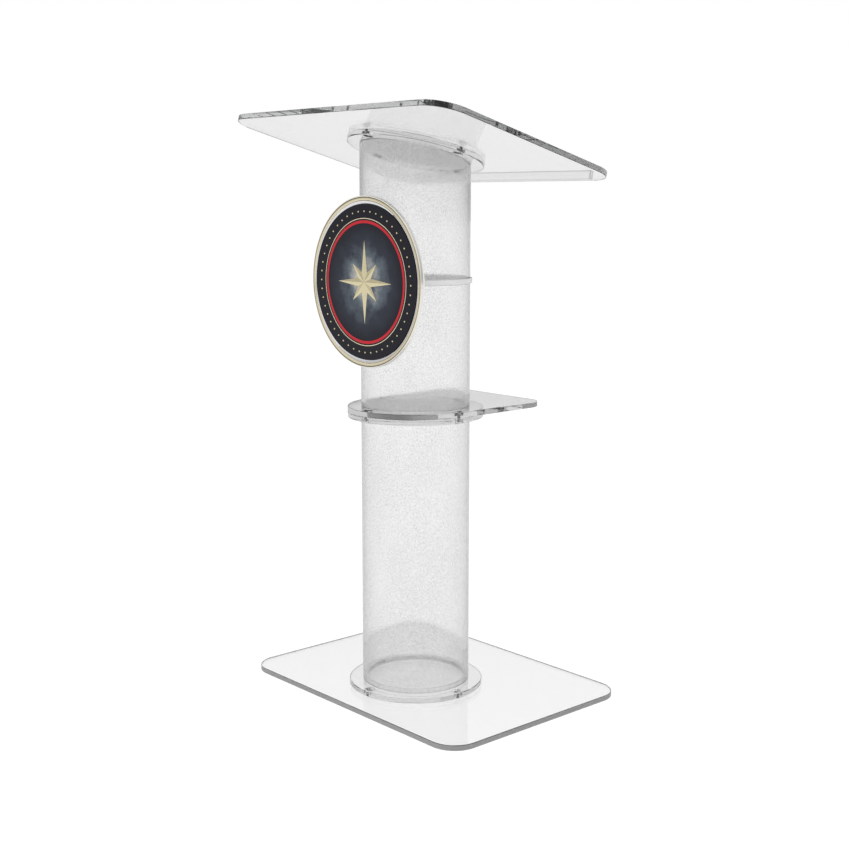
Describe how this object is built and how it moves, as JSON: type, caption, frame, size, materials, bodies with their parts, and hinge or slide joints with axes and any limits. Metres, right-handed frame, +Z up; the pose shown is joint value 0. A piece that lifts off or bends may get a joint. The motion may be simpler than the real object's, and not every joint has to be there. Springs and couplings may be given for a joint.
{
  "type": "presentation lectern",
  "caption": "Free-standing clear lectern: a round column on a flat base plate carries a sloping desk with a book stop, a side shelf and a round sign facing the audience.",
  "frame": {"origin": "on the column's axis at the underside of the base plate", "axes": "+Z up along the column, -Y towards the audience and the sign, +Y towards the reader, +X to the audience's right as they face the sign"},
  "size_m": [0.59, 0.4607, 1.0686],
  "materials": {
    "clear_acrylic": "clear, polished edges",
    "frosted_acrylic": "clear with a faint frosting",
    "stainless_steel": "turned, satin",
    "gold_trim": "polished gold-coloured",
    "silver_trim": "polished silver-coloured",
    "printed_panel": "printed, gloss"
  },
  "bodies": {
    "root": {"base_plate": "clear_acrylic", "base_flange": "clear_acrylic", "base_locating_ring": "clear_acrylic", "base_screw_1": "stainless_steel", "base_screw_2": "stainless_steel", "base_screw_3": "stainless_steel", "base_screw_4": "stainless_steel", "lower_column": "frosted_acrylic", "shelf_flange": "clear_acrylic", "shelf_plate": "clear_acrylic", "shelf_bolt_1": "stainless_steel", "shelf_bolt_2": "stainless_steel", "shelf_bolt_3": "stainless_steel", "shelf_bolt_4": "stainless_steel", "shelf_nut_1": "stainless_steel", "shelf_nut_2": "stainless_steel", "shelf_nut_3": "stainless_steel", "shelf_nut_4": "stainless_steel", "middle_column": "frosted_acrylic", "sign_bracket": "clear_acrylic", "upper_column": "frosted_acrylic", "desk_flange": "clear_acrylic", "desk_screw_1": "stainless_steel", "desk_screw_2": "stainless_steel", "desk_screw_3": "stainless_steel", "desk_screw_4": "stainless_steel", "desk_plate": "clear_acrylic", "book_stop": "clear_acrylic", "sign_backing": "clear_acrylic", "sign_screw_1": "stainless_steel", "sign_screw_2": "stainless_steel", "sign_panel": "printed_panel", "sign_inner_ring": "silver_trim", "sign_rim": "gold_trim"}
  },
  "joints": []
}
